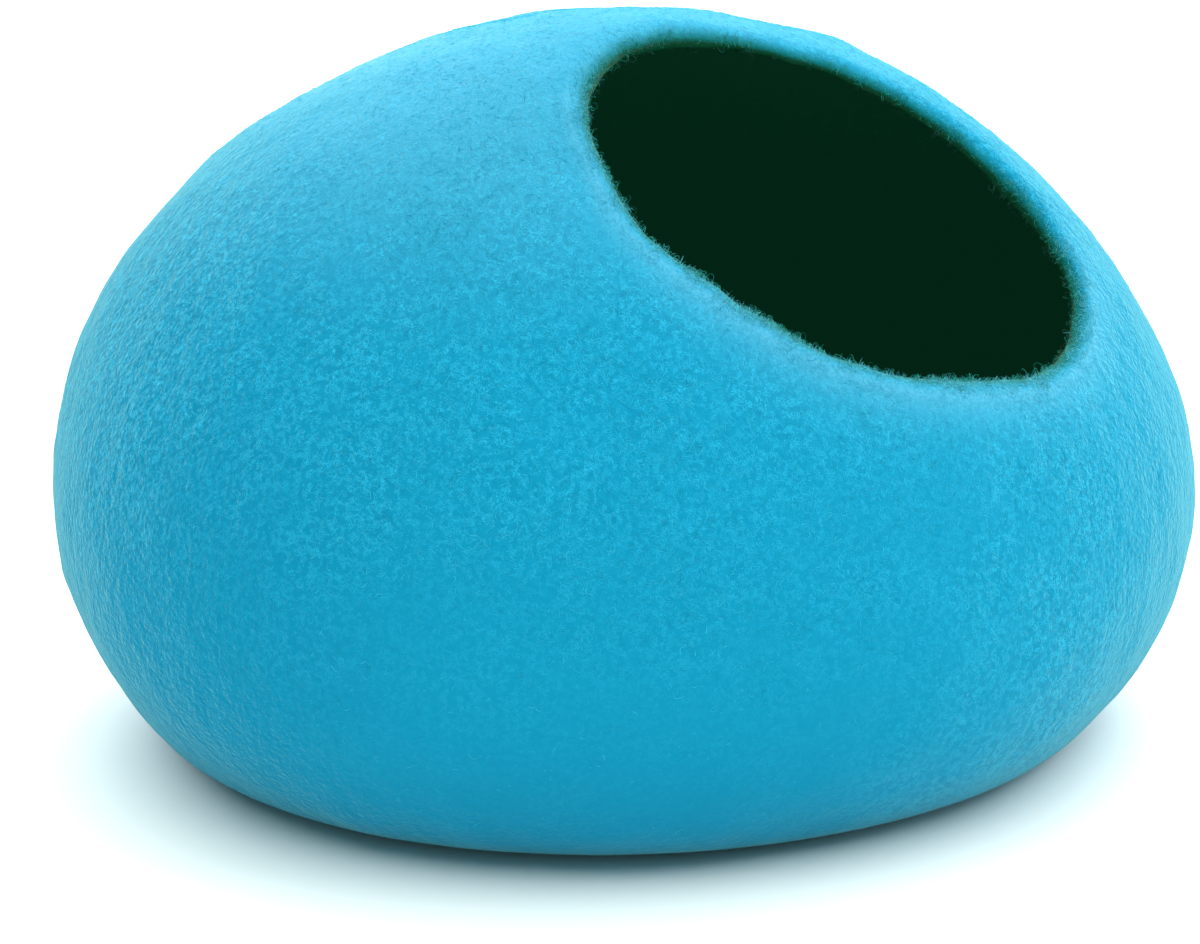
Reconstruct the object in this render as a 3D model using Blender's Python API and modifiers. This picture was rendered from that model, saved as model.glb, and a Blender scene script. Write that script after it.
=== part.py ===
"""A cat cave felted from wool in one piece: a hollow pebble on a flat foot, with a slanted oval mouth.

Metres, Z up. The foot stands on Z = 0 around the origin, the long side runs along X,
and the mouth looks up and towards -Y, turned a little towards +X.
"""

import math
from typing import NamedTuple

import bmesh
import bpy
import numpy as np

NAME = "felt_cave"

# The felt.
WALL = 0.006
FELT_COLOUR = (0.012, 0.36, 0.58, 1.0)
INSIDE_COLOUR = (0.002, 0.018, 0.010, 1.0)
FELT_ROUGHNESS = 0.95

# The mouth: where it sits on the pebble, and its oval. Angles are in degrees.
MOUTH_AZIMUTH = 29.4
MOUTH_LATITUDE = 39.1
MOUTH_ROLL = -39.4
MOUTH_HALF_LENGTH = 0.100
MOUTH_HALF_WIDTH = 0.0686

# The lip rolls inwards around this radius, through these angles, and its cut edge is rounded.
LIP_RADIUS = 0.0085
LIP_ANGLES = (75.0, 45.0, 22.0)
LIP_EDGE_ROUNDING = 0.0022

# The foot is pressed flat, and the side rises from it in a curve of this radius.
FOOT_RADIUS = 0.010

# Mesh density: meridians around the pebble, and rings from the lip down to the middle of the foot.
MERIDIANS = 64
BODY_STEPS = 27
SQUARE_RINGS_FROM = 0.65
UPRIGHT_RINGS_FROM = 0.75


class Section(NamedTuple):
    """One level section of the pebble: its height, the shift of its centre and its half sizes.

    Its level runs from -1 at the bottom of a unit ball to 1 at the top. The half sizes are
    those of the whole pebble there, and the ball narrows them to the section's own.
    """

    level: float
    height: float
    shift_x: float
    shift_y: float
    half_x: float
    half_y: float


SECTIONS = (
    Section(-1.0, -0.012, 0.0015, -0.0035, 0.272, 0.223),
    Section(-0.7, 0.012, 0.0015, -0.0035, 0.246, 0.205),
    Section(0.0, 0.128, -0.0005, 0.0025, 0.221, 0.182),
    Section(0.7, 0.254, -0.0055, 0.0005, 0.177, 0.143),
    Section(1.0, 0.293, -0.0075, -0.0215, 0.155, 0.126),
)


def unit(vectors):
    return vectors / np.linalg.norm(vectors, axis=-1, keepdims=True)


def smooth_step(value):
    value = np.clip(value, 0.0, 1.0)
    return value * value * (3.0 - 2.0 * value)


def natural_spline(knots, values, where):
    """The natural cubic spline through values at the knots, read at each place in where."""
    steps = np.diff(knots)
    slopes = np.diff(values) / steps
    system = np.eye(len(knots))
    bends = np.zeros(len(knots))
    for inner in range(1, len(knots) - 1):
        before, after = steps[inner - 1], steps[inner]
        system[inner, inner - 1 : inner + 2] = before, 2.0 * (before + after), after
        bends[inner] = 6.0 * (slopes[inner] - slopes[inner - 1])
    bends = np.linalg.solve(system, bends)
    left = np.clip(np.searchsorted(knots, where) - 1, 0, len(steps) - 1)
    step = steps[left]
    from_right = (knots[left + 1] - where) / step
    from_left = (where - knots[left]) / step
    straight = from_right * values[left] + from_left * values[left + 1]
    bend_right = (from_right**3 - from_right) * bends[left]
    bend_left = (from_left**3 - from_left) * bends[left + 1]
    return straight + (bend_right + bend_left) * step**2 / 6.0


def pressed_flat(height):
    """Heights below the floor pressed up to it, with a soft curve of FOOT_RADIUS above it."""
    curved = height**2 / (4.0 * FOOT_RADIUS)
    straight = height - FOOT_RADIUS
    return np.where(height <= 0.0, 0.0, np.where(height < 2.0 * FOOT_RADIUS, curved, straight))


def skin_point(direction):
    """The pebble's outer skin in each unit direction from its middle."""
    levels, *columns = np.array(SECTIONS).T
    height, shift_x, shift_y, half_x, half_y = (
        natural_spline(levels, column, direction[..., 2]) for column in columns
    )
    x = shift_x + half_x * direction[..., 0]
    y = shift_y + half_y * direction[..., 1]
    return np.stack([x, y, pressed_flat(height)], axis=-1)


def skin_normal(direction):
    """The outward normal of the skin in each direction."""
    nudge = 1e-4
    across = unit(np.cross(direction, (0.31, 0.52, 0.80)))
    along = np.cross(direction, across)

    def slope(way):
        return skin_point(unit(direction + nudge * way)) - skin_point(unit(direction - nudge * way))

    return unit(np.cross(slope(across), slope(along)))


def tilted_direction(polar, turn, tilt):
    """The direction at a polar angle and a turn around an axis tilted from upright to the mouth."""
    azimuth = math.radians(MOUTH_AZIMUTH)
    level = np.sin(tilt)
    axis = np.stack([level * math.sin(azimuth), -level * math.cos(azimuth), np.cos(tilt)], axis=-1)
    side = np.broadcast_to((math.cos(azimuth), math.sin(azimuth), 0.0), axis.shape)
    over = np.cross(axis, side)
    around = np.cos(turn)[..., None] * side + np.sin(turn)[..., None] * over
    return np.cos(polar)[..., None] * axis + np.sin(polar)[..., None] * around


def mouth_tilt(like):
    return np.full_like(like, math.radians(90.0 - MOUTH_LATITUDE))


def mouth_axes():
    """The mouth's middle on the skin, and the unit vectors along and across its oval."""
    zero = np.zeros(1)
    direction = tilted_direction(zero, zero, mouth_tilt(zero))
    normal = skin_normal(direction)[0]
    level = unit(np.cross((0.0, 0.0, 1.0), normal))
    uphill = np.cross(normal, level)
    roll = math.radians(MOUTH_ROLL)
    lengthwise = math.cos(roll) * level + math.sin(roll) * uphill
    return skin_point(direction)[0], lengthwise, np.cross(normal, lengthwise)


def mouth_polar(turn):
    """The polar angle at which the skin meets the oval where the lip starts to roll in."""
    middle, lengthwise, crosswise = mouth_axes()
    half_length = MOUTH_HALF_LENGTH + LIP_RADIUS
    half_width = MOUTH_HALF_WIDTH + LIP_RADIUS
    inside = np.zeros_like(turn)
    outside = np.full_like(turn, math.radians(80.0))
    for _ in range(30):
        tried = (inside + outside) / 2.0
        offset = skin_point(tilted_direction(tried, turn, mouth_tilt(turn))) - middle
        reach = (offset @ lengthwise / half_length) ** 2 + (offset @ crosswise / half_width) ** 2
        inside = np.where(reach < 1.0, tried, inside)
        outside = np.where(reach < 1.0, outside, tried)
    return (inside + outside) / 2.0


def body_point(share, turn):
    """The skin from the mouth, at share 0, to the middle of the foot, at share 1."""
    own = mouth_polar(turn)
    mean = mouth_polar(np.linspace(0.0, 2.0 * math.pi, MERIDIANS, endpoint=False)).mean()
    even = mean + (math.pi - mean) * share
    polar = even + (own - mean) * (1.0 - smooth_step(share / SQUARE_RINGS_FROM))
    tilt = mouth_tilt(turn) * (1.0 - smooth_step(share / UPRIGHT_RINGS_FROM))
    return skin_point(tilted_direction(polar, turn, tilt))


def lip_point(angle, turn):
    """The skin where it has rolled in at the mouth through an angle."""
    nudge = 1e-3
    polar = mouth_polar(turn)
    edge = body_point(np.zeros_like(turn), turn)
    onwards = body_point(np.zeros_like(turn), turn + nudge)
    back = body_point(np.zeros_like(turn), turn - nudge)
    rim = unit(onwards - back)
    normal = skin_normal(tilted_direction(polar, turn, mouth_tilt(turn)))
    normal = unit(normal - (normal * rim).sum(axis=-1, keepdims=True) * rim)
    inwards = np.cross(normal, rim)
    forward = np.sin(angle)[..., None] * inwards
    down = (1.0 - np.cos(angle))[..., None] * normal
    return edge + LIP_RADIUS * (forward - down)


def pebble_skin():
    """A sphere open at one pole, its rings drawn out into the lip, the pebble's side and the foot."""
    lip_steps = len(LIP_ANGLES)
    rings = lip_steps + BODY_STEPS
    skin = bmesh.new()
    bmesh.ops.create_uvsphere(skin, u_segments=MERIDIANS, v_segments=rings + 1, radius=1.0)
    pole = max(skin.verts, key=lambda vert: vert.co.z)
    bmesh.ops.delete(skin, geom=[pole], context="VERTS")

    ball = np.array([vert.co for vert in skin.verts], dtype=np.float64)
    turn = np.arctan2(ball[:, 1], ball[:, 0])
    ring = np.round(np.arccos(np.clip(ball[:, 2], -1.0, 1.0)) / math.pi * (rings + 1)) - 1
    share = np.clip((ring - lip_steps) / BODY_STEPS, 0.0, 1.0)
    angles = np.radians(np.array(LIP_ANGLES + (0.0,)))
    angle = angles[np.clip(ring, 0, lip_steps).astype(int)]
    on_lip = (ring < lip_steps)[:, None]
    points = np.where(on_lip, lip_point(angle, turn), body_point(share, turn))
    for vert, point in zip(skin.verts, points):
        vert.co = point
    return skin


def felt_material(name, colour):
    material = bpy.data.materials.new(name)
    material.use_nodes = True
    surface = material.node_tree.nodes["Principled BSDF"]
    surface.inputs["Base Color"].default_value = colour
    surface.inputs["Roughness"].default_value = FELT_ROUGHNESS
    surface.inputs["Metallic"].default_value = 0.0
    material.diffuse_color = colour
    return material


def make_cave(collection):
    skin = pebble_skin()
    mesh = bpy.data.meshes.new(NAME)
    skin.to_mesh(mesh)
    skin.free()
    mesh.shade_smooth()
    mesh.materials.append(felt_material("wool_felt", FELT_COLOUR))
    mesh.materials.append(felt_material("wool_felt_inside", INSIDE_COLOUR))

    cave = bpy.data.objects.new(NAME, mesh)
    collection.objects.link(cave)

    wall = cave.modifiers.new("wall", "SOLIDIFY")
    wall.thickness = WALL
    wall.offset = -1.0
    wall.use_even_offset = True
    wall.material_offset = 1

    edge = cave.modifiers.new("rounded_edge", "BEVEL")
    edge.width = LIP_EDGE_ROUNDING
    edge.segments = 2
    edge.limit_method = "ANGLE"
    edge.angle_limit = math.radians(50.0)
    return cave


def main():
    for leftover in list(bpy.data.objects):
        bpy.data.objects.remove(leftover, do_unlink=True)
    collection = bpy.data.collections.new("felt_cat_cave")
    bpy.context.scene.collection.children.link(collection)
    make_cave(collection)


main()
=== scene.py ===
"""The looks of a felted cat cave: the shell with its grain, its fuzz and the curls at its mouth.

Metres, Z up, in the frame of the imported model. The shell repeats the model's own form in fine mesh.
"""

import math
from typing import Callable, NamedTuple

import bpy
import numpy as np
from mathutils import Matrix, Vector


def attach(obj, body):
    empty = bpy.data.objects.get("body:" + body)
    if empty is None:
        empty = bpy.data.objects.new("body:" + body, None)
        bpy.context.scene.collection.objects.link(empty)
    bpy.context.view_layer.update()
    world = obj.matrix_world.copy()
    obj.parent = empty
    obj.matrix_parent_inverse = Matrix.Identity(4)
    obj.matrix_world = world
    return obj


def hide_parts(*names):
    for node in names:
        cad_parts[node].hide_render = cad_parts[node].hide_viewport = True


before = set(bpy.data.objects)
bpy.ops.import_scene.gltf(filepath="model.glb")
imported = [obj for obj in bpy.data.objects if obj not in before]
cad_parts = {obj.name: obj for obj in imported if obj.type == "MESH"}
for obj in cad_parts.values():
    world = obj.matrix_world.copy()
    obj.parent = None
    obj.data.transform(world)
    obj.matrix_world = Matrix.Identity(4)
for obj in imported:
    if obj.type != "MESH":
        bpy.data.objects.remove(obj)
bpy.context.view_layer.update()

BODY = "root"
CAD_NODE = "felt_cave"

# The photograph's view. The sensor and the lens are in millimetres, and angles are in degrees.
SENSOR_WIDTH = 36.0
CAMERA_LENS = 104.93
CAMERA_AZIMUTH = -13.2
CAMERA_ELEVATION = 18.0
CAMERA_DISTANCE = 1.35
CAMERA_NEAR = 0.05
CAMERA_TARGET = Vector((-0.0136, -0.0085, 0.1017))

# The floor's reach from the middle, and how far it lies under the foot so that no faces meet.
FLOOR_REACH = 12.0
FLOOR_DROP = 0.0003

# The felt, the oval mouth, its rolled lip and the curve at the foot, as in the model.
WALL = 0.006
MOUTH_AZIMUTH = 29.4
MOUTH_LATITUDE = 39.1
MOUTH_ROLL = -39.4
MOUTH_HALF_LENGTH = 0.100
MOUTH_HALF_WIDTH = 0.0686
LIP_RADIUS = 0.0085
FOOT_RADIUS = 0.010

# The lip rolls in through this many degrees, and its edge is then rounded over the whole wall.
LIP_TURN = 70.0

# At the rim the rings follow the mouth. On the way to the foot they are even, and then level, from
# these shares on.
SQUARE_RINGS_FROM = 0.65
UPRIGHT_RINGS_FROM = 0.75

# Before the lip the felt eases down by this depth, over this reach from the rim.
EASE_DEPTH = 0.0016
EASE_REACH = 0.012

# The fine mesh: meridians around, and rings from the middle of the foot over the lip to the inside.
MERIDIANS = 400
FOOT_RINGS = 12
SIDE_RINGS = 124
MOUTH_RINGS = 18
LIP_RINGS = 9
EDGE_RINGS = 7
INNER_LIP_RINGS = 4
INSIDE_RINGS = 46
OUTER_RINGS = FOOT_RINGS + SIDE_RINGS + MOUTH_RINGS
ROLLED_RINGS = LIP_RINGS + EDGE_RINGS

# Shares of the way from the rim to the middle of the foot: where the mouth's rings end, where the
# foot's start, and the last ring, which a fan closes.
MOUTH_SHARE = 0.07
FOOT_SHARE = 0.80
LAST_SHARE = 0.999


class Section(NamedTuple):
    """One level section of the pebble: its height, the shift of its centre and its half sizes."""

    level: float
    height: float
    shift_x: float
    shift_y: float
    half_x: float
    half_y: float


SECTIONS = (
    Section(-1.0, -0.012, 0.0015, -0.0035, 0.272, 0.223),
    Section(-0.7, 0.012, 0.0015, -0.0035, 0.246, 0.205),
    Section(0.0, 0.128, -0.0005, 0.0025, 0.221, 0.182),
    Section(0.7, 0.254, -0.0055, 0.0005, 0.177, 0.143),
    Section(1.0, 0.293, -0.0075, -0.0215, 0.155, 0.126),
)


class Lumps(NamedTuple):
    """One size of unevenness in the felt: how far apart its lumps are, and how high."""

    spacing: float
    height: float
    seed: int


# Each size of lumps is a sum of this many waves, with spacings spread by these factors.
LUMP_WAVES = 48
SPACING_SPREAD = (0.75, 1.35)

SIDE_LUMPS = (
    Lumps(0.110, 0.0006, 11),
    Lumps(0.034, 0.00018, 12),
    Lumps(0.013, 0.00009, 13),
)
RIM_LUMPS = (
    Lumps(0.060, 0.00035, 21),
    Lumps(0.016, 0.00018, 22),
)


class Swell(NamedTuple):
    """A soft hump of the hand-laid felt, or a hollow where its outward push is negative."""

    x: float
    y: float
    z: float
    push: float
    reach: float


SWELLS = (
    Swell(0.193, -0.022, 0.172, -0.0013, 0.040),
    Swell(0.129, -0.002, 0.240, -0.0022, 0.032),
    Swell(0.078, 0.008, 0.265, 0.0018, 0.009),
    Swell(0.055, 0.015, 0.272, -0.0015, 0.020),
    Swell(0.000, 0.014, 0.280, -0.0014, 0.020),
    Swell(-0.034, 0.020, 0.276, 0.0009, 0.008),
    Swell(-0.052, 0.010, 0.277, -0.0012, 0.009),
    Swell(-0.111, 0.036, 0.250, -0.0010, 0.012),
    Swell(-0.176, 0.040, 0.203, -0.0025, 0.010),
    Swell(-0.208, -0.021, 0.036, -0.0049, 0.026),
    Swell(0.160, -0.104, 0.022, -0.0024, 0.026),
)

# The felt is even on the floor, and fully uneven from this height.
UNEVEN_FROM = 0.020


class Bend(NamedTuple):
    """A part of the rim bent into the mouth, or out of it where negative.

    Its turn around the mouth and its spread are in degrees.
    """

    turn: float
    inwards: float
    spread: float


RIM_BENDS = (
    Bend(8.0, -0.0020, 16.0),
    Bend(105.0, -0.0030, 17.0),
    Bend(156.0, 0.0042, 11.0),
    Bend(190.0, 0.0030, 13.0),
    Bend(216.0, -0.0012, 10.0),
    Bend(274.0, 0.0020, 11.0),
    Bend(330.0, -0.0022, 18.0),
)

# The bends fade out over these numbers of rings, before the rim and past the lip's edge.
BEND_RINGS_BEFORE = 9.0
BEND_RINGS_PAST = 4.0

# The mouth's front starts at this Y, and is full after this blend towards -Y.
FRONT_FROM = -0.040
FRONT_BLEND = 0.040

# The way over the lip goes from 0 outside, over its roll and its rounded edge, to 1 inside. The
# green wool starts at this share of it.
GREEN_FROM = 0.60

# Painted sheen makes the wool at the mouth's front paler, most at the rim. It fades over this reach,
# and ends at this share of the way over the lip.
LIP_SHEEN_REACH = 0.0075
LIP_SHEEN_END = 0.40

# Half way over the lip, the inside's painted shade starts earlier by this share at the mouth's front
# and later at its back.
FRONT_SHADE = 0.06
BACK_SHADE = 0.08


def unit(vectors):
    return vectors / np.linalg.norm(vectors, axis=-1, keepdims=True)


def smooth_step(value):
    value = np.clip(value, 0.0, 1.0)
    return value * value * (3.0 - 2.0 * value)


# ---------------------------------------------------------------- the pebble's form


def natural_spline(knots, values, where):
    """The natural cubic spline through values at the knots, read at each place in where."""
    steps = np.diff(knots)
    slopes = np.diff(values) / steps
    system = np.eye(len(knots))
    bends = np.zeros(len(knots))
    for inner in range(1, len(knots) - 1):
        before, after = steps[inner - 1], steps[inner]
        system[inner, inner - 1 : inner + 2] = before, 2.0 * (before + after), after
        bends[inner] = 6.0 * (slopes[inner] - slopes[inner - 1])
    bends = np.linalg.solve(system, bends)
    left = np.clip(np.searchsorted(knots, where) - 1, 0, len(steps) - 1)
    step = steps[left]
    from_right = (knots[left + 1] - where) / step
    from_left = (where - knots[left]) / step
    straight = from_right * values[left] + from_left * values[left + 1]
    bend_right = (from_right**3 - from_right) * bends[left]
    bend_left = (from_left**3 - from_left) * bends[left + 1]
    return straight + (bend_right + bend_left) * step**2 / 6.0


def pressed_flat(height):
    """Heights below the floor pressed up to it, with a soft curve of FOOT_RADIUS above it."""
    curved = height**2 / (4.0 * FOOT_RADIUS)
    straight = height - FOOT_RADIUS
    return np.where(height <= 0.0, 0.0, np.where(height < 2.0 * FOOT_RADIUS, curved, straight))


def skin_point(direction):
    """The pebble's outer skin in each unit direction from its middle."""
    levels, *columns = np.array(SECTIONS).T
    height, shift_x, shift_y, half_x, half_y = (
        natural_spline(levels, column, direction[..., 2]) for column in columns
    )
    x = shift_x + half_x * direction[..., 0]
    y = shift_y + half_y * direction[..., 1]
    return np.stack([x, y, pressed_flat(height)], axis=-1)


def skin_normal(direction):
    """The outward normal of the skin in each direction."""
    nudge = 1e-4
    across = unit(np.cross(direction, (0.31, 0.52, 0.80)))
    along = np.cross(direction, across)

    def slope(way):
        return skin_point(unit(direction + nudge * way)) - skin_point(unit(direction - nudge * way))

    return unit(np.cross(slope(across), slope(along)))


def tilted_direction(polar, turn, tilt):
    """The direction at a polar angle and a turn around an axis tilted from upright to the mouth."""
    azimuth = math.radians(MOUTH_AZIMUTH)
    level = np.sin(tilt)
    axis = np.stack([level * math.sin(azimuth), -level * math.cos(azimuth), np.cos(tilt)], axis=-1)
    side = np.broadcast_to((math.cos(azimuth), math.sin(azimuth), 0.0), axis.shape)
    over = np.cross(axis, side)
    around = np.cos(turn)[..., None] * side + np.sin(turn)[..., None] * over
    return np.cos(polar)[..., None] * axis + np.sin(polar)[..., None] * around


def mouth_tilt(turn):
    """The tilt from upright to the mouth, which is the same at every turn."""
    return np.full_like(turn, math.radians(90.0 - MOUTH_LATITUDE))


def mouth_axes():
    """The mouth's middle on the skin, and the unit vectors along and across its oval."""
    zero = np.zeros(1)
    direction = tilted_direction(zero, zero, mouth_tilt(zero))
    normal = skin_normal(direction)[0]
    level = unit(np.cross((0.0, 0.0, 1.0), normal))
    uphill = np.cross(normal, level)
    roll = math.radians(MOUTH_ROLL)
    lengthwise = math.cos(roll) * level + math.sin(roll) * uphill
    return skin_point(direction)[0], lengthwise, np.cross(normal, lengthwise)


def mouth_polar(turn):
    """The polar angle at which the skin meets the oval where the lip starts to roll in."""
    middle, lengthwise, crosswise = mouth_axes()
    half_length = MOUTH_HALF_LENGTH + LIP_RADIUS
    half_width = MOUTH_HALF_WIDTH + LIP_RADIUS
    inside = np.zeros_like(turn)
    outside = np.full_like(turn, math.radians(80.0))
    for _ in range(30):
        tried = (inside + outside) / 2.0
        offset = skin_point(tilted_direction(tried, turn, mouth_tilt(turn))) - middle
        reach = (offset @ lengthwise / half_length) ** 2 + (offset @ crosswise / half_width) ** 2
        inside = np.where(reach < 1.0, tried, inside)
        outside = np.where(reach < 1.0, outside, tried)
    return (inside + outside) / 2.0


def lumps(points, table):
    """A random but repeatable unevenness at each point: the sum of many slanted waves."""
    total = np.zeros(points.shape[:-1])
    for row in table:
        rng = np.random.default_rng(row.seed)
        ways = unit(rng.normal(size=(LUMP_WAVES, 3)))
        pitch = 2.0 * math.pi / (row.spacing * rng.uniform(*SPACING_SPREAD, size=(LUMP_WAVES, 1)))
        starts = rng.uniform(0.0, 2.0 * math.pi, size=LUMP_WAVES)
        phases = points @ (ways * pitch).T + starts
        total += row.height * np.cos(phases).sum(axis=-1) * math.sqrt(2.0 / LUMP_WAVES)
    return total


def swells(points):
    """How far the listed humps and hollows move each point outwards."""
    total = np.zeros(points.shape[:-1])
    for row in SWELLS:
        away = np.linalg.norm(points - (row.x, row.y, row.z), axis=-1)
        total += row.push * np.exp(-((away / row.reach) ** 2) / 2.0)
    return total


def rim_bends(turn):
    """How far the rim bends into the mouth at each turn."""
    total = np.zeros_like(turn)
    for row in RIM_BENDS:
        away = np.degrees(turn) - row.turn
        away = (away + 180.0) % 360.0 - 180.0
        total += row.inwards * np.exp(-((away / row.spread) ** 2) / 2.0)
    return total


def front_of_mouth(points):
    """0 along the back of the mouth and 1 along its front."""
    return smooth_step((FRONT_FROM - points[..., 1]) / FRONT_BLEND)


def eased(points, normals):
    """Rings from the rim outwards, and their normals, eased down towards the rim."""
    steps = np.linalg.norm(np.diff(points, axis=0), axis=-1)
    away = np.concatenate([np.zeros_like(steps[:1]), np.cumsum(steps, axis=0)])
    depth = (EASE_DEPTH * np.exp(-away / EASE_REACH))[..., None]
    outwards = unit(np.gradient(points, axis=0))
    return points - depth * normals, unit(normals - depth / EASE_REACH * outwards)


# ---------------------------------------------------------------- the shell


class Shell(NamedTuple):
    """The shell as rings of points, with their normals and how far inside each ring lies.

    Each point also has its painted sheen at the mouth's front, and how far its wool has turned to the
    inside's colour and its painted shade.
    """

    points: np.ndarray
    normals: np.ndarray
    inside: np.ndarray
    lip_sheen: np.ndarray
    shaded: np.ndarray


def ring_normals(points):
    """Normals of a grid of rings, by differences along and around it."""
    around = np.roll(points, -1, axis=1) - np.roll(points, 1, axis=1)
    along = np.gradient(points, axis=0)
    return unit(np.cross(around, along))


def body_rings(shares, turn):
    """Rings of the skin, and their normals, from the mouth at share 0 to the foot's middle at 1."""
    own = mouth_polar(turn)
    share = np.asarray(shares)[:, None]
    even = own.mean() + (math.pi - own.mean()) * share
    polar = even + (own - own.mean()) * (1.0 - smooth_step(share / SQUARE_RINGS_FROM))
    tilt = mouth_tilt(turn) * (1.0 - smooth_step(share / UPRIGHT_RINGS_FROM))
    direction = tilted_direction(polar, np.tile(turn, (len(share), 1)), tilt)
    return eased(skin_point(direction), skin_normal(direction))


def lip_rings(rim, rim_normals):
    """The lip rolled in from the rim, its rounded edge and its inner face, with normals."""
    along = unit(np.roll(rim, -1, axis=0) - np.roll(rim, 1, axis=0))
    upright = unit(rim_normals - (rim_normals * along).sum(axis=-1, keepdims=True) * along)
    inwards = np.cross(upright, along)
    centre = rim - LIP_RADIUS * upright

    def spoke(angles):
        angle = np.asarray(angles)[:, None, None]
        return np.sin(angle) * inwards + np.cos(angle) * upright

    full = math.radians(LIP_TURN)
    outer = spoke(np.linspace(0.0, full, LIP_RINGS + 1)[1:])
    inner = spoke(np.linspace(full, 0.0, INNER_LIP_RINGS, endpoint=False))
    last = spoke([full])
    onwards = math.cos(full) * inwards - math.sin(full) * upright
    half_turn = np.linspace(0.0, math.pi, EDGE_RINGS + 2)[1:-1, None, None]
    edge = np.cos(half_turn) * last + np.sin(half_turn) * onwards
    edge_centre = centre + (LIP_RADIUS - WALL / 2.0) * last
    outer_face = centre + LIP_RADIUS * outer
    rounded_edge = edge_centre + WALL / 2.0 * edge
    inner_face = centre + (LIP_RADIUS - WALL) * inner
    points = np.concatenate([outer_face, rounded_edge, inner_face])
    return points, np.concatenate([outer, edge, inner])


def even_shell(turn):
    """The rings of the shell before its felt is uneven, and their outward normals."""
    mouth = np.linspace(0.0, MOUTH_SHARE, MOUTH_RINGS, endpoint=False)
    side = np.linspace(MOUTH_SHARE, FOOT_SHARE, SIDE_RINGS, endpoint=False)
    foot = np.linspace(FOOT_SHARE, LAST_SHARE, FOOT_RINGS)
    outer, outer_normals = body_rings(np.concatenate([mouth, side, foot]), turn)
    outer, outer_normals = outer[::-1], outer_normals[::-1]
    lip, lip_normals = lip_rings(outer[-1], outer_normals[-1])
    inside_shares = np.append(np.linspace(0.0, 1.0, INSIDE_RINGS, endpoint=False), LAST_SHARE)
    inner, inner_normals = body_rings(inside_shares, turn)
    inner = inner - WALL * inner_normals
    points = np.concatenate([outer, lip, inner])
    return points, np.concatenate([outer_normals, lip_normals, inner_normals])


def made_uneven(points, outward, turn):
    """The rings moved by the felt's lumps and swells and by the rim's bends.

    Both faces of the wall move together, so the wall stays about as thick as it is.
    """
    off_floor = smooth_step(points[..., 2] / UNEVEN_FROM)
    lift = (lumps(points, SIDE_LUMPS) + swells(points)) * off_floor
    ring = np.arange(len(points))
    before_rim = np.maximum(OUTER_RINGS - ring, 0)
    past_edge = np.maximum(ring - OUTER_RINGS - ROLLED_RINGS, 0)
    near_rim = np.exp(-((before_rim / BEND_RINGS_BEFORE) ** 2))
    near_edge = np.exp(-((past_edge / BEND_RINGS_PAST) ** 2))
    edge = points[OUTER_RINGS + ROLLED_RINGS // 2]
    bends = lumps(edge, RIM_LUMPS) + rim_bends(turn)
    shift = bends[None, :] * (near_rim * near_edge)[:, None]
    into_mouth = unit(edge.mean(axis=0) - edge)
    points = points + outward * lift[..., None] + shift[..., None] * into_mouth
    points[..., 2] = np.maximum(points[..., 2], 0.0)
    return points


def make_shell_form():
    turn = np.linspace(0.0, 2.0 * math.pi, MERIDIANS, endpoint=False)
    points = made_uneven(*even_shell(turn), turn)

    # The way over the lip, for each ring.
    inside = np.clip((np.arange(len(points)) - OUTER_RINGS + 1) / ROLLED_RINGS, 0.0, 1.0)

    away = np.linalg.norm(points - points[OUTER_RINGS - 1], axis=-1)
    rolled_off = 1.0 - smooth_step(inside / LIP_SHEEN_END)
    front = front_of_mouth(points[OUTER_RINGS])
    # Painted sheen: paler wool along the mouth's front, most at the rim.
    lip_sheen = np.exp(-away / LIP_SHEEN_REACH) * rolled_off[:, None] * front
    half_rolled = (4.0 * inside * (1.0 - inside))[:, None]
    shaded = inside[:, None] + half_rolled * (FRONT_SHADE * front - BACK_SHADE * (1.0 - front))
    return Shell(points, ring_normals(points), inside, lip_sheen, shaded)


def shell_mesh(name, shell):
    """The rings as one closed mesh, with a fan at each end."""
    rings, count = shell.points.shape[:2]
    index = np.arange(rings * count).reshape(rings, count)
    after = np.roll(index, -1, axis=1)
    quads = np.stack([index[:-1], after[:-1], after[1:], index[1:]], axis=-1).reshape(-1, 4)
    foot_pole, floor_pole = rings * count, rings * count + 1
    poles = np.stack([shell.points[0].mean(axis=0), shell.points[-1].mean(axis=0)])
    foot_fan = np.stack([np.full(count, foot_pole), after[0], index[0]], axis=-1)
    floor_fan = np.stack([np.full(count, floor_pole), index[-1], after[-1]], axis=-1)
    points = np.concatenate([shell.points.reshape(-1, 3), poles])
    mesh = bpy.data.meshes.new(name)
    mesh.from_pydata(points.tolist(), [], quads.tolist() + foot_fan.tolist() + floor_fan.tolist())
    inside = np.append(np.repeat(shell.inside, count), (0.0, 1.0))
    lip_sheen = np.append(shell.lip_sheen.ravel(), (0.0, 0.0))
    shaded = np.append(shell.shaded.ravel(), (0.0, 1.0))
    for key, values in (("inside", inside), ("lip_sheen", lip_sheen), ("shaded", shaded)):
        attribute = mesh.attributes.new(key, "FLOAT", "POINT")
        attribute.data.foreach_set("value", values.astype(np.float32))

    # The inside takes the second material.
    first_green = int(np.argmax(shell.inside >= GREEN_FROM)) * count
    slots = np.zeros(len(mesh.polygons), dtype=np.int32)
    slots[first_green : len(quads)] = 1
    slots[len(quads) + count :] = 1
    mesh.polygons.foreach_set("material_index", slots)
    mesh.shade_smooth()
    return mesh


# ---------------------------------------------------------------- fibres

# A fibre's three corners around its middle line, in degrees, how high it is for its width, and how
# thick its tips are for its middle.
CORNER_ANGLES = (90.0, 210.0, 330.0)
FLATNESS = 0.5
TIP_SHARE = 0.45

# How far a fibre turns to and fro, in radians, and how many times over its length.
CRIMP = 0.6
CRIMP_WAVES = (0.7, 1.6)

# Fibres stay this far above the floor.
FIBRE_CLEARANCE = 0.00005

# A way that a fibre's side falls back on, by a small share, where the fibre stands upright.
ASKEW = (0.36, 0.48, 0.80)
ASKEW_SHARE = 0.01


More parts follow.
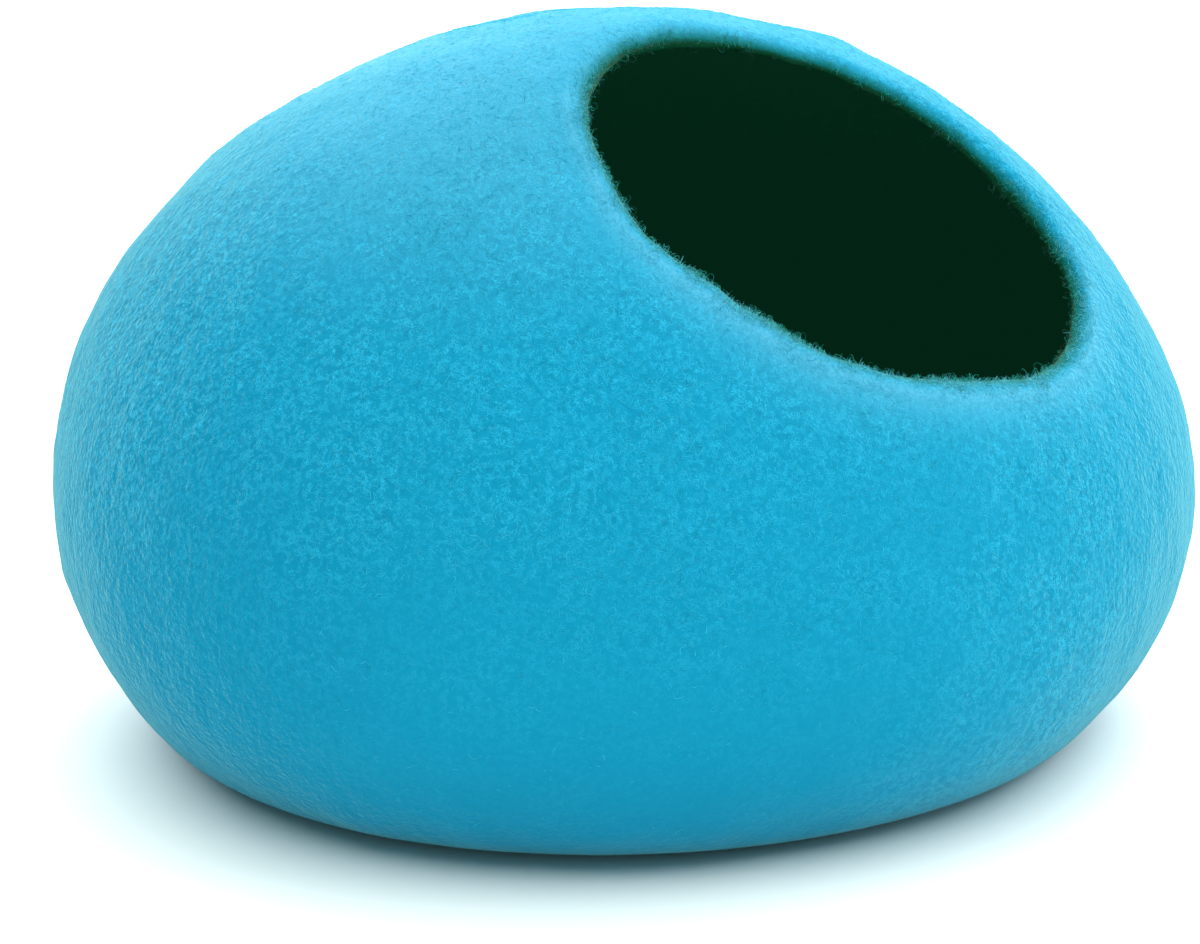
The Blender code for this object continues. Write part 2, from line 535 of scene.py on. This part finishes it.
class Roots(NamedTuple):
    """Where fibres grow: points on the felt, outward normals and the ways that they first lie."""

    points: np.ndarray
    normals: np.ndarray
    ways: np.ndarray


def scatter(shell, first, last, count, rng, weight):
    """Random roots over some rings of the shell, spread by area times a weight."""
    corner = shell.points[first:last]
    normal = shell.normals[first:last]
    right = np.roll(corner, -1, axis=1)
    areas = np.linalg.norm(np.cross(right[:-1] - corner[:-1], corner[1:] - corner[:-1]), axis=-1)
    chances = areas * weight(corner[:-1])
    chosen = rng.choice(chances.size, size=count, p=(chances / chances.sum()).ravel())
    row, column = np.unravel_index(chosen, chances.shape)
    beside = (column + 1) % corner.shape[1]
    up = rng.uniform(size=(count, 1))
    over = rng.uniform(size=(count, 1))

    def blend(grid):
        low = grid[row, column] * (1.0 - over) + grid[row, beside] * over
        high = grid[row + 1, column] * (1.0 - over) + grid[row + 1, beside] * over
        return low * (1.0 - up) + high * up

    normals = unit(blend(normal))
    ways = rng.normal(size=(count, 3))
    ways = unit(ways - (ways * normals).sum(axis=-1, keepdims=True) * normals)
    return Roots(blend(corner), normals, ways)


class Nap(NamedTuple):
    """How a kind of fibre grows.

    Length, thickness and lift are ranges in metres. Curl is in turns over the length, and stand
    is the tilt, in degrees, of the fibre's curl out of the felt's face.
    """

    count: int
    steps: int
    length: tuple
    thickness: tuple
    curl: tuple
    stand: tuple
    lift: tuple
    seed: int


def fibre_paths(roots, nap, rng):
    """Curled paths over the felt. A fibre that lies flat has its middle on its root."""
    count, steps = len(roots.points), nap.steps
    length = rng.uniform(*nap.length, size=(count, 1))
    share = (np.arange(steps) + 0.5)[None, :] / steps
    curl = rng.uniform(*nap.curl, size=(count, 1)) * rng.choice((-1.0, 1.0), size=(count, 1))
    crimp = rng.normal(scale=CRIMP, size=(count, 1))
    waves = rng.uniform(*CRIMP_WAVES, size=(count, 1))
    start = rng.uniform(0.0, 2.0 * math.pi, size=(count, 1))
    heading = 2.0 * math.pi * curl * share + crimp * np.sin(2.0 * math.pi * waves * share + start)
    stand = np.radians(rng.uniform(*nap.stand, size=(count, 1)))
    flat_side = np.cross(roots.normals, roots.ways)
    side = np.cos(stand) * flat_side + np.sin(stand) * roots.normals * np.sign(curl)
    stride = (length / steps)[..., None]
    onwards = np.cos(heading)[..., None] * roots.ways[:, None]
    sideways = np.sin(heading)[..., None] * side[:, None]
    walked = np.cumsum((onwards + sideways) * stride, axis=1)
    path = np.concatenate([np.zeros((count, 1, 3)), walked], axis=1)
    path -= path.mean(axis=1, keepdims=True) * np.cos(stand)[..., None]
    lift = rng.uniform(*nap.lift, size=(count, 1)) * np.sin(math.pi * np.arange(steps + 1) / steps)
    return roots.points[:, None] + path + lift[..., None] * roots.normals[:, None]


def carried_frames(tangent, first):
    """A side vector for each ring of each path, carried along it so that no tube twists."""
    side = np.empty_like(tangent)
    before = first
    for ring in range(tangent.shape[1]):
        along = tangent[:, ring]
        before = unit(before - (before * along).sum(axis=-1, keepdims=True) * along)
        side[:, ring] = before
    return side


def tube_mesh(name, paths, thickness, shades, normals):
    """Each path as a closed three-sided tube, thinner towards both ends, all in one mesh.

    A tube is flattened, with its ridge away from the felt. It is lit as one surface with the
    given normal, as wool lets light through.
    """
    count, rings = paths.shape[:2]
    tangent = unit(np.gradient(paths, axis=1))
    sideways = np.cross(normals, tangent[:, 0]) + ASKEW_SHARE * np.cross(tangent[:, 0], ASKEW)
    helper = carried_frames(tangent, sideways)
    other = np.cross(tangent, helper)
    from_end = np.minimum(np.arange(rings), np.arange(rings)[::-1])
    radius = (thickness[:, None] / 2.0 * np.where(from_end == 0, TIP_SHARE, 1.0))[..., None]
    corners = [
        paths + radius * (math.cos(angle) * helper + FLATNESS * math.sin(angle) * other)
        for angle in np.radians(CORNER_ANGLES)
    ]
    points = np.stack(corners, axis=2)
    points[..., 2] = np.maximum(points[..., 2], FIBRE_CLEARANCE)
    index = np.arange(count * rings * 3).reshape(count, rings, 3)
    after = np.roll(index, -1, axis=2)
    around = [index[:, :-1], after[:, :-1], after[:, 1:], index[:, 1:]]
    sides = np.stack(around, axis=-1).reshape(-1, 4)
    caps = np.concatenate([index[:, 0, ::-1], index[:, -1]])
    mesh = bpy.data.meshes.new(name)
    mesh.from_pydata(points.reshape(-1, 3).tolist(), [], sides.tolist() + caps.tolist())
    shade = np.repeat(shades, rings * 3).astype(np.float32)
    mesh.attributes.new("shade", "FLOAT", "POINT").data.foreach_set("value", shade)
    mesh.shade_smooth()
    mesh.normals_split_custom_set_from_vertices(np.repeat(normals, rings * 3, axis=0).tolist())
    return mesh


def linked(name, mesh, materials):
    piece = bpy.data.objects.new(name, mesh)
    bpy.context.scene.collection.objects.link(piece)
    for material in materials:
        mesh.materials.append(material)
    return piece


class Growth(NamedTuple):
    """One piece of fibres: its nap, its wool, and the rings that it grows on, counted from the rim.

    Weight is how thickly the fibres stand at each point, and upwards is how far each fibre is lit
    from above, and not as the felt under it is.
    """

    name: str
    nap: Nap
    wool: str
    first: int
    last: int
    weight: Callable
    upwards: float


def make_fibres(row, shell, material):
    nap = row.nap
    rng = np.random.default_rng(nap.seed)
    first, last = OUTER_RINGS + row.first, OUTER_RINGS + row.last
    roots = scatter(shell, first, last, nap.count, rng, row.weight)
    paths = fibre_paths(roots, nap, rng)
    thickness = rng.uniform(*nap.thickness, size=nap.count)
    shades = rng.uniform(0.0, 1.0, size=nap.count)
    from_above = row.upwards * np.array((0.0, 0.0, 1.0))
    normals = unit((1.0 - row.upwards) * roots.normals + from_above)
    mesh = tube_mesh(row.name, paths, thickness, shades, normals)
    piece = linked(row.name, mesh, [material])
    piece.visible_shadow = False
    return piece


# ---------------------------------------------------------------- materials


class Grain(NamedTuple):
    """A noise: how many lumps it has to a metre, and how detailed, rough and swirled they are."""

    scale: float
    detail: float = 2.0
    roughness: float = 0.5
    swirl: float = 0.0


class Fade(NamedTuple):
    """A smooth change while a value rises from low to high: what it starts and ends at."""

    low: float
    high: float
    start: float = 0.0
    end: float = 1.0


class Finish(NamedTuple):
    """How a surface takes the light, besides its colour."""

    roughness: float
    specular: float
    sheen: float
    sheen_roughness: float


SHEEN_TINT = (0.64, 1.00, 0.72, 1.0)


class Nodes:
    """A material's node tree, with short ways to add and join nodes."""

    def __init__(self, name):
        self.material = bpy.data.materials.new(name)
        self.material.use_nodes = True
        self.tree = self.material.node_tree
        self.surface = self.tree.nodes["Principled BSDF"]

    def put(self, value, socket):
        if isinstance(value, bpy.types.NodeSocket):
            self.tree.links.new(value, socket)
        else:
            socket.default_value = value

    def add(self, kind, inputs=None, **settings):
        node = self.tree.nodes.new(kind)
        for key, value in settings.items():
            setattr(node, key, value)
        for key, value in (inputs or {}).items():
            self.put(value, node.inputs[key])
        return node

    def place(self):
        """Where each point is, in metres."""
        return self.add("ShaderNodeTexCoord").outputs["Object"]

    def attribute(self, name):
        return self.add("ShaderNodeAttribute", attribute_name=name).outputs["Fac"]

    def noise(self, where, grain):
        inputs = {"Vector": where, "Scale": grain.scale, "Detail": grain.detail}
        inputs.update({"Roughness": grain.roughness, "Distortion": grain.swirl})
        return self.add("ShaderNodeTexNoise", inputs).outputs["Fac"]

    def math(self, operation, first, second=0.0):
        return self.add("ShaderNodeMath", {0: first, 1: second}, operation=operation).outputs[0]

    def times(self, first, second):
        return self.math("MULTIPLY", first, second)

    def larger(self, first, second):
        return self.math("MAXIMUM", first, second)

    def fade(self, value, fade):
        inputs = {"Value": value, "From Min": fade.low, "From Max": fade.high}
        inputs.update({"To Min": fade.start, "To Max": fade.end})
        return self.add("ShaderNodeMapRange", inputs, interpolation_type="SMOOTHSTEP").outputs[0]

    def mix(self, factor, first, second):
        node = self.add("ShaderNodeMix", data_type="RGBA")
        self.put(factor, node.inputs["Factor"])
        self.put(first, node.inputs[6])
        self.put(second, node.inputs[7])
        return node.outputs[2]

    def bump(self, height, distance, normal=None):
        node = self.add("ShaderNodeBump", {"Height": height, "Distance": distance, "Strength": 1.0})
        if normal is not None:
            self.put(normal, node.inputs["Normal"])
        return node.outputs[0]

    def finish(self, colour, finish):
        inputs = self.surface.inputs
        self.put(colour, inputs["Base Color"])
        inputs["Roughness"].default_value = finish.roughness
        inputs["Specular IOR Level"].default_value = finish.specular
        inputs["Sheen Weight"].default_value = finish.sheen
        inputs["Sheen Roughness"].default_value = finish.sheen_roughness
        inputs["Sheen Tint"].default_value = SHEEN_TINT
        return self.material


FELT_FINISH = Finish(0.95, 0.05, 0.36, 0.38)
INSIDE_FINISH = Finish(1.0, 0.0, 0.0, 0.5)
SHEENY_FIBRE = Finish(0.85, 0.1, 0.1, 0.3)
DULL_FIBRE = Finish(0.85, 0.1, 0.0, 0.3)
FLOOR_FINISH = Finish(0.9, 0.0, 0.0, 0.5)

BLUE_DEEP = (0.0010, 0.195, 0.345, 1.0)
BLUE = (0.0035, 0.260, 0.432, 1.0)
BLUE_PALE = (0.0220, 0.430, 0.670, 1.0)
BLUE_PAINTED_SHEEN = (0.0850, 0.390, 0.575, 1.0)
TEAL_SHADE = (0.0008, 0.130, 0.120, 1.0)
GREEN_DARK = (0.0030, 0.048, 0.021, 1.0)

# The inside glows faintly: painted light, standing in for the dim, even light inside the cave.
GREEN_PAINTED_GLOW = (0.0010, 0.0155, 0.0066, 1.0)
PAINTED_GLOW_STRENGTH = 1.0

FLOOR_COLOUR = (0.88, 0.90, 0.88, 1.0)
FLOOR_PALE = (0.90, 0.92, 0.90, 1.0)

# The grains of the felt, from fine to coarse, and the floor's.
FINE_GRAIN = Grain(900.0, 2.0, 0.65)
PEBBLES = Grain(520.0, 2.0, 0.55)
RIPPLES = Grain(150.0, 2.0, 0.50, 0.4)
RIDGES = Grain(110.0, 3.0, 0.60, 0.6)
PATCHES = Grain(34.0, 3.0, 0.65)
FLOOR_GRAIN = Grain(3.0)

# How high the pebbles are for the ripples, and how fast the ridges change along each axis.
PEBBLE_SHARE = 0.90
RIDGE_SHAPE = (1.0, 1.0, 0.25)

# How high the felt's relief stands: the strands and the fine grain, and the soft unevenness.
FINE_DEPTH = 0.00010
UNEVEN_DEPTH = 0.0013
INSIDE_FINE_DEPTH = 0.00015
INSIDE_UNEVEN_DEPTH = 0.0010


class Strands(NamedTuple):
    """A kind of strands in matted wool: its scale, its lines' width and its shift from the rest."""

    scale: float
    width: float
    shift: float


PALE_STRANDS = Strands(520.0, 0.060, 0.31)
FINE_STRANDS = Strands(740.0, 0.080, 0.77)
DARK_STRANDS = Strands(600.0, 0.070, 1.43)

# A strand is a line where a swirled noise is this far from its middle. It shows in pieces, by a
# second noise with lumps of this share as many to a metre.
STRAND_SWIRL = 0.4
STRAND_LEVEL = 0.10
PIECE_SHARE = 0.6
PIECES = Fade(0.46, 0.58)

# How strongly the strands show: in patches, by their noise, more up the side, by height, and by X
# more on the right but less at the right end.
BY_PATCH = Fade(0.34, 0.66, 0.50, 1.00)
UP_THE_SIDE = Fade(0.03, 0.21, 0.15, 1.00)
ON_THE_RIGHT = Fade(0.00, 0.12, 0.00, 0.90)
RIGHT_END = Fade(0.12, 0.19, 1.00, 0.40)

# How uneven and how ridged the felt is, by the distance from its middle along X.
UNEVEN_ENDS = Fade(0.09, 0.19, 0.25, 1.00)
RIDGED_ENDS = Fade(0.05, 0.15, 0.00, 0.90)

# Where the blue is deeper: in pits of the fine grain, in gaps between strands, and, as painted shade,
# near the floor, by height, and at the left end, by X.
PITS = Fade(0.34, 0.48, 0.35, 0.00)
GAP_SHARE = 0.8
PAINTED_SHADE_LOW = Fade(0.00, 0.09, 0.50, 0.00)
PAINTED_SHADE_LEFT = Fade(-0.19, -0.07, 0.50, 0.00)

# Where painted sheen makes the wool pale: over the top, by height, and on its left, by X. High grain
# takes the most of it.
PAINTED_SHEEN_TOP = Fade(0.180, 0.285, 0.00, 0.90)
PAINTED_SHEEN_LEFT = Fade(-0.12, 0.12, 1.00, 0.15)
PAINTED_SHEEN_GRAIN = Fade(0.30, 0.70, 0.60, 1.00)

# Where the wool turns teal, partly painted shade and partly the turn to the inside's colour, and then
# green on its way over the lip, and how ragged that line is.
TO_TEAL = Fade(0.14, 0.50)
TO_GREEN = Fade(0.47, 0.62)
RAGGEDNESS = 0.10


def strands(nodes, where, kind):
    """Crinkly strands of matted wool: thin lines around the humps and hollows of a noise."""
    shift = (kind.shift, 2.0 * kind.shift, 3.0 * kind.shift)
    moved = nodes.add("ShaderNodeVectorMath", {0: where, 1: shift}, operation="ADD").outputs[0]
    field = nodes.noise(moved, Grain(kind.scale, 0.0, 0.5, STRAND_SWIRL))
    from_middle = nodes.math("ABSOLUTE", nodes.math("SUBTRACT", field, 0.5))
    away = nodes.math("ABSOLUTE", nodes.math("SUBTRACT", from_middle, STRAND_LEVEL))
    line = nodes.fade(away, Fade(0.0, kind.width, 1.0, 0.0))
    pieces = nodes.fade(nodes.noise(moved, Grain(PIECE_SHARE * kind.scale, 0.0)), PIECES)
    return nodes.times(line, pieces)


class Relief(NamedTuple):
    """The felt's face: its strands, its fine grain and its soft unevenness.

    Amount is how strongly each place shows strands, and x and z are where the place is.
    """

    mat: bpy.types.NodeSocket
    grain: bpy.types.NodeSocket
    uneven: bpy.types.NodeSocket
    amount: bpy.types.NodeSocket
    x: bpy.types.NodeSocket
    z: bpy.types.NodeSocket


def felt_relief(nodes, where):
    """The relief of the felt, for its bumps and for where its colours go."""
    mat = nodes.larger(strands(nodes, where, PALE_STRANDS), strands(nodes, where, FINE_STRANDS))
    grain = nodes.noise(where, FINE_GRAIN)
    place = nodes.add("ShaderNodeSeparateXYZ", {0: where}).outputs
    x, z = place["X"], place["Z"]
    from_middle = nodes.math("ABSOLUTE", x)

    # Towards both ends the felt is more uneven, and drawn into upright ridges.
    pebbles = nodes.times(nodes.noise(where, PEBBLES), PEBBLE_SHARE)
    soft = nodes.math("ADD", pebbles, nodes.noise(where, RIPPLES))
    soft = nodes.times(soft, nodes.fade(from_middle, UNEVEN_ENDS))
    drawn_out = nodes.add("ShaderNodeVectorMath", {0: where, 1: RIDGE_SHAPE}, operation="MULTIPLY")
    ridges = nodes.noise(drawn_out.outputs[0], RIDGES)
    ridges = nodes.times(ridges, nodes.fade(from_middle, RIDGED_ENDS))
    uneven = nodes.math("ADD", soft, ridges)

    shown = nodes.larger(nodes.fade(z, UP_THE_SIDE), nodes.fade(x, ON_THE_RIGHT))
    shown = nodes.times(shown, nodes.fade(x, RIGHT_END))
    amount = nodes.times(nodes.fade(nodes.noise(where, PATCHES), BY_PATCH), shown)
    return Relief(mat, grain, uneven, amount, x, z)


def painted_sheen(nodes, relief):
    """How pale painted sheen makes the wool: at the front of the mouth, and over the top on the left.
    """
    top_left = nodes.times(nodes.fade(relief.z, PAINTED_SHEEN_TOP), nodes.fade(relief.x, PAINTED_SHEEN_LEFT))
    sheen_mask = nodes.larger(nodes.attribute("lip_sheen"), top_left)
    return nodes.times(sheen_mask, nodes.fade(relief.grain, PAINTED_SHEEN_GRAIN))


def blue_felt():
    nodes = Nodes("blue_wool_felt")
    where = nodes.place()
    relief = felt_relief(nodes, where)
    dark_strands = strands(nodes, where, DARK_STRANDS)
    between = nodes.larger(dark_strands, nodes.fade(relief.grain, PITS))
    gaps = nodes.times(between, nodes.times(relief.amount, GAP_SHARE))
    # Painted shade: the blue is deeper near the floor and at the left end.
    ends = nodes.larger(nodes.fade(relief.z, PAINTED_SHADE_LOW), nodes.fade(relief.x, PAINTED_SHADE_LEFT))
    colour = nodes.mix(nodes.larger(gaps, ends), BLUE, BLUE_DEEP)
    colour = nodes.mix(nodes.times(relief.mat, relief.amount), colour, BLUE_PALE)
    # Painted sheen: the wool is paler at the mouth's front and over the top on the left.
    colour = nodes.mix(painted_sheen(nodes, relief), colour, BLUE_PAINTED_SHEEN)

    ragged = nodes.times(nodes.math("SUBTRACT", relief.grain, 0.5), RAGGEDNESS)
    shaded = nodes.math("ADD", nodes.attribute("shaded"), ragged)
    inside = nodes.math("ADD", nodes.attribute("inside"), ragged)
    # Painted shade, with the turn to the inside's colour: over the lip the wool darkens to teal.
    colour = nodes.mix(nodes.fade(shaded, TO_TEAL), colour, TEAL_SHADE)
    colour = nodes.mix(nodes.fade(inside, TO_GREEN), colour, GREEN_DARK)

    fine = nodes.math("SUBTRACT", nodes.math("ADD", relief.mat, relief.grain), between)
    fine = nodes.times(fine, relief.amount)
    bumps = nodes.bump(fine, FINE_DEPTH, nodes.bump(relief.uneven, UNEVEN_DEPTH))
    nodes.put(bumps, nodes.surface.inputs["Normal"])
    return nodes.finish(colour, FELT_FINISH)


def green_felt():
    nodes = Nodes("green_wool_felt")
    relief = felt_relief(nodes, nodes.place())
    fine = nodes.math("ADD", relief.mat, relief.grain)
    bumps = nodes.bump(relief.uneven, INSIDE_UNEVEN_DEPTH)
    bumps = nodes.bump(fine, INSIDE_FINE_DEPTH, bumps)
    nodes.put(bumps, nodes.surface.inputs["Normal"])
    # Painted light: the inside glows faintly.
    nodes.surface.inputs["Emission Color"].default_value = GREEN_PAINTED_GLOW
    nodes.surface.inputs["Emission Strength"].default_value = PAINTED_GLOW_STRENGTH
    return nodes.finish(GREEN_DARK, INSIDE_FINISH)


class Wool(NamedTuple):
    """One kind of fibre's wool: the colours of its darkest and lightest fibres, and its finish."""

    name: str
    dark: tuple
    light: tuple
    finish: Finish


WOOLS = (
    Wool("blue_wool_fibre", (0.002, 0.22, 0.37, 1.0), (0.035, 0.45, 0.66, 1.0), SHEENY_FIBRE),
    Wool("pale_wool_fibre", (0.010, 0.30, 0.46, 1.0), (0.090, 0.50, 0.68, 1.0), DULL_FIBRE),
    Wool("fringe_wool_fibre", (0.002, 0.10, 0.10, 1.0), (0.090, 0.44, 0.52, 1.0), DULL_FIBRE),
    Wool("teal_wool_fibre", (0.000, 0.09, 0.07, 1.0), (0.015, 0.26, 0.21, 1.0), DULL_FIBRE),
    Wool("green_wool_fibre", (0.001, 0.03, 0.02, 1.0), (0.030, 0.14, 0.11, 1.0), DULL_FIBRE),
)


def fibre_material(wool):
    nodes = Nodes(wool.name)
    colour = nodes.mix(nodes.attribute("shade"), wool.dark, wool.light)
    return nodes.finish(colour, wool.finish)


def floor_material():
    nodes = Nodes("pale_floor")
    colour = nodes.mix(nodes.noise(nodes.place(), FLOOR_GRAIN), FLOOR_COLOUR, FLOOR_PALE)
    return nodes.finish(colour, FLOOR_FINISH)


# ---------------------------------------------------------------- studio


def away_from(azimuth, elevation):
    """The unit vector from the part at an azimuth and an elevation, in degrees, 0 towards -Y."""
    azimuth, elevation = math.radians(azimuth), math.radians(elevation)
    level = math.cos(elevation)
    return Vector((math.sin(azimuth) * level, -math.cos(azimuth) * level, math.sin(elevation)))


def make_camera():
    back = away_from(CAMERA_AZIMUTH, CAMERA_ELEVATION)
    data = bpy.data.cameras.new("photo_camera")
    data.sensor_width = SENSOR_WIDTH
    data.lens = CAMERA_LENS
    data.clip_start = CAMERA_NEAR
    camera = bpy.data.objects.new("photo_camera", data)
    camera.location = CAMERA_TARGET + back * CAMERA_DISTANCE
    camera.rotation_euler = back.to_track_quat("Z", "Y").to_euler()
    bpy.context.scene.collection.objects.link(camera)
    bpy.context.scene.camera = camera


class Softbox(NamedTuple):
    """A distant soft light: where it comes from, its strength and the angle that it fills."""

    name: str
    azimuth: float
    elevation: float
    strength: float
    angle: float


SOFTBOXES = (
    Softbox("overhead_softbox", 160.0, 74.0, 4.75, 120.0),
    Softbox("right_softbox", 105.0, 36.0, 1.65, 80.0),
    Softbox("back_softbox", 175.0, 30.0, 1.3, 70.0),
)
WORLD_COLOUR = (0.60, 1.00, 0.93, 1.0)
WORLD_STRENGTH = 0.37


def make_lights():
    for row in SOFTBOXES:
        data = bpy.data.lights.new(row.name, "SUN")
        data.energy = row.strength
        data.angle = math.radians(row.angle)
        light = bpy.data.objects.new(row.name, data)
        towards = away_from(row.azimuth, row.elevation)
        light.rotation_euler = towards.to_track_quat("Z", "Y").to_euler()
        bpy.context.scene.collection.objects.link(light)
    world = bpy.data.worlds.new("white_studio")
    world.use_nodes = True
    background = world.node_tree.nodes["Background"]
    background.inputs["Color"].default_value = WORLD_COLOUR
    background.inputs["Strength"].default_value = WORLD_STRENGTH
    bpy.context.scene.world = world


def make_floor():
    ways = ((-1.0, -1.0), (1.0, -1.0), (1.0, 1.0), (-1.0, 1.0))
    corners = [(FLOOR_REACH * x, FLOOR_REACH * y, 0.0) for x, y in ways]
    mesh = bpy.data.meshes.new("floor")
    mesh.from_pydata(corners, [], [(0, 1, 2, 3)])
    floor = linked("floor", mesh, [floor_material()])
    floor.location.z = -FLOOR_DROP


# ---------------------------------------------------------------- the cave

# Fuzz gathers in patches and wisps, and the fibres of the rim in tufts, each by its own strength.
FUZZ_PATCHES = (Lumps(0.060, 1.0, 31),)
FUZZ_WISPS = (Lumps(0.015, 1.0, 32),)
PATCH_STRENGTH = 0.35
WISP_STRENGTH = 0.25
TUFT_STRENGTH = 0.6

# Fuzz is this thin near the floor, and thickens from this height over the next rise.
LOW_FUZZ = 0.06
THICKENS_FROM = 0.03
THICKENS_OVER = 0.17

# By this share fuzz is thinner at both ends, from this far out along X over the next stretch.
END_THINNING = 0.85
THINS_FROM = 0.11
THINS_OVER = 0.07

# The rim's pale fuzz is this thin along the mouth's back. Along the front its paleness is partly
# painted highlight.
BACK_FUZZ = 0.06


def fuzz_weight(points):
    """Fuzz gathers in wisps and patches, and is thin near the floor and at both ends."""
    wisps = WISP_STRENGTH * lumps(points, FUZZ_WISPS)
    patches = PATCH_STRENGTH * lumps(points, FUZZ_PATCHES)
    risen = smooth_step((points[..., 2] - THICKENS_FROM) / THICKENS_OVER)
    upper = LOW_FUZZ + (1.0 - LOW_FUZZ) * risen
    outwards = smooth_step((np.abs(points[..., 0]) - THINS_FROM) / THINS_OVER)
    ends = 1.0 - END_THINNING * outwards
    return np.exp(wisps + patches) * upper * ends


def rim_weight(points):
    """Rim curls gather in tufts."""
    return np.exp(TUFT_STRENGTH * lumps(points, FUZZ_WISPS))


def front_rim_weight(points):
    """The rim's pale fuzz, partly painted highlight, is thickest along its front and thin along its
    back.
    """
    return rim_weight(points) * (BACK_FUZZ + (1.0 - BACK_FUZZ) * front_of_mouth(points))


BROAD_DOWN = Nap(
    20000, 1, (0.0008, 0.0018), (0.00022, 0.00036), (0.0, 0.1), (0.0, 10.0), (0.0002, 0.0004), 41
)
FINE_DOWN = Nap(
    20000, 1, (0.0007, 0.0016), (0.00020, 0.00032), (0.0, 0.1), (0.0, 20.0), (0.0002, 0.0004), 44
)
SHORT_HAIRS = Nap(
    13500, 2, (0.0012, 0.0028), (0.00020, 0.00032), (0.0, 0.4), (0.0, 20.0), (0.0002, 0.0004), 42
)
LONG_HAIRS = Nap(
    3000, 4, (0.0022, 0.0050), (0.00018, 0.00028), (0.1, 0.5), (0.0, 15.0), (0.0002, 0.0004), 43
)
RIM_FUZZ = Nap(
    5200, 2, (0.0010, 0.0026), (0.00012, 0.00022), (0.0, 0.6), (0.0, 50.0), (0.0001, 0.0004), 51
)
RIM_FRINGE = Nap(
    3600, 3, (0.0014, 0.0042), (0.00011, 0.00019), (0.0, 0.7), (35.0, 90.0), (0.0, 0.0003), 54
)
RIM_CURLS = Nap(
    900, 7, (0.0035, 0.0080), (0.00014, 0.00022), (0.6, 1.3), (20.0, 90.0), (0.0, 0.0004), 52
)
EDGE_CURLS = Nap(
    700, 7, (0.0035, 0.0080), (0.00010, 0.00018), (0.6, 1.3), (20.0, 90.0), (0.0, 0.0004), 53
)

SKIN = FOOT_RINGS - OUTER_RINGS
GROWTHS = (
    Growth("surface_fuzz_1", BROAD_DOWN, "blue_wool_fibre", SKIN, 0, fuzz_weight, 0.0),
    Growth("surface_fuzz_2", FINE_DOWN, "blue_wool_fibre", SKIN, 0, fuzz_weight, 0.0),
    Growth("surface_fuzz_3", SHORT_HAIRS, "blue_wool_fibre", SKIN, 0, fuzz_weight, 0.0),
    Growth("surface_fuzz_4", LONG_HAIRS, "blue_wool_fibre", SKIN, 0, fuzz_weight, 0.0),
    Growth("rim_fuzz", RIM_FUZZ, "pale_wool_fibre", -3, 7, front_rim_weight, 0.3),
    Growth("rim_fringe", RIM_FRINGE, "fringe_wool_fibre", 0, 8, front_rim_weight, 0.8),
    Growth("rim_curls", RIM_CURLS, "teal_wool_fibre", 5, 10, rim_weight, 0.9),
    Growth("edge_curls", EDGE_CURLS, "green_wool_fibre", 9, 15, rim_weight, 0.9),
)


def make_cave():
    shell = make_shell_form()
    cave = linked("felt_shell", shell_mesh("felt_shell", shell), [blue_felt(), green_felt()])
    materials = {wool.name: fibre_material(wool) for wool in WOOLS}
    fibres = [make_fibres(row, shell, materials[row.wool]) for row in GROWTHS]
    for piece in [cave] + fibres:
        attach(piece, BODY)
    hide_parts(CAD_NODE)


make_camera()
make_lights()
make_floor()
make_cave()
bpy.context.scene.view_settings.view_transform = "Standard"
